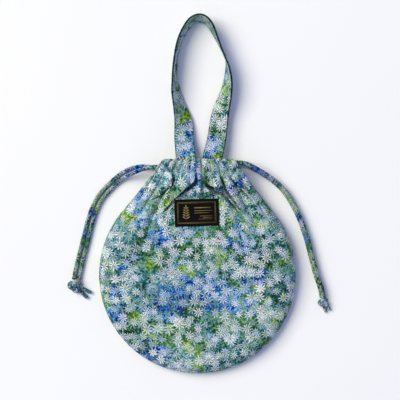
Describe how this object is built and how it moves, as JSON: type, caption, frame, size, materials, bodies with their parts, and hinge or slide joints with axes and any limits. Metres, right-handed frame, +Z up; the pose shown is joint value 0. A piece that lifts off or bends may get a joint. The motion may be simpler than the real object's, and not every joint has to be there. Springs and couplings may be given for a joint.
{
  "type": "drawstring pouch",
  "caption": "Round cotton drawstring pouch with a gathered casing mouth, a single strap handle, a sewn label and a knotted cord at each side, lying flat",
  "frame": {"origin": "middle of the pouch and its handle in plan, on the surface that it lies on, measured without the drawstrings and their knots", "axes": "+Y from the round foot of the bag to the top of the handle loop, +X to the right of the front panel, +Z up, out of the front panel"},
  "size_m": [0.3433, 0.466, 0.0322],
  "materials": {
    "printed_cotton": "plain-woven cotton lawn with a scattered daisy print over teal, blue and lime fields",
    "cord_cotton": "narrow tubes of the same printed cotton, turned and filled",
    "webbing": "dark green woven tape",
    "label_weave": "damask-woven satin label, near black with gold threads"
  },
  "bodies": {
    "root": {"front_panel": "printed_cotton", "back_panel": "printed_cotton", "label": "label_weave", "handle_webbing": "webbing", "handle_face": "printed_cotton", "handle_backing": "printed_cotton", "drawstring_left": "cord_cotton", "drawstring_right": "cord_cotton", "knot_left": "cord_cotton", "knot_right": "cord_cotton"}
  },
  "joints": []
}
